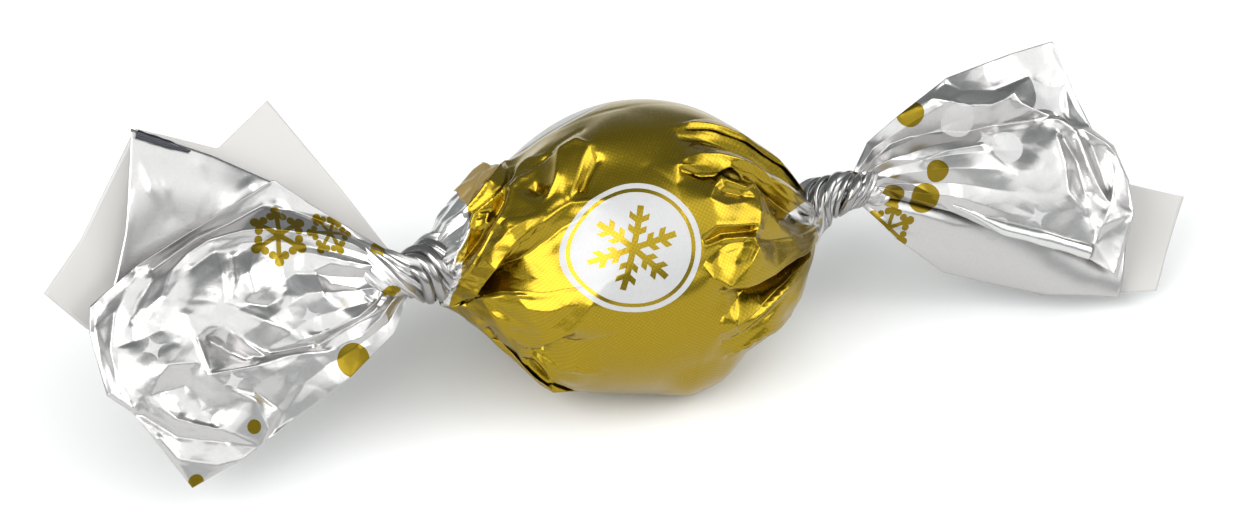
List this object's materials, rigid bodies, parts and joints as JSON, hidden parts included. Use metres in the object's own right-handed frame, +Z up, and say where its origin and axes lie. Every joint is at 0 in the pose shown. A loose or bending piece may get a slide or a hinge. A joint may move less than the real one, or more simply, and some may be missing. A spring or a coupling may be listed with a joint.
{
  "type": "twist-wrapped praline",
  "caption": "Round praline in gold foil and clear film, twisted at both ends into spread silver tails; it lies on the underside of its ball.",
  "frame": {"origin": "on the surface the sweet lies on, in the middle of the flat spot under the ball", "axes": "+X along the sweet, from the left tail to the right one; +Z up; the fans of both tails lean back and face -Y and up"},
  "size_m": [0.1071, 0.0275, 0.0276],
  "materials": {
    "gold_foil": "aluminium foil printed lemon gold under clear gloss film, satin to bright",
    "silver_foil": "bright crumpled aluminium foil under clear film",
    "clear_film": "clear to milky polypropylene film, gloss"
  },
  "bodies": {
    "root": {"wrapped_praline": "gold_foil", "left_tail": "silver_foil", "right_tail": "silver_foil", "left_film": "clear_film", "right_film": "clear_film"}
  },
  "joints": []
}
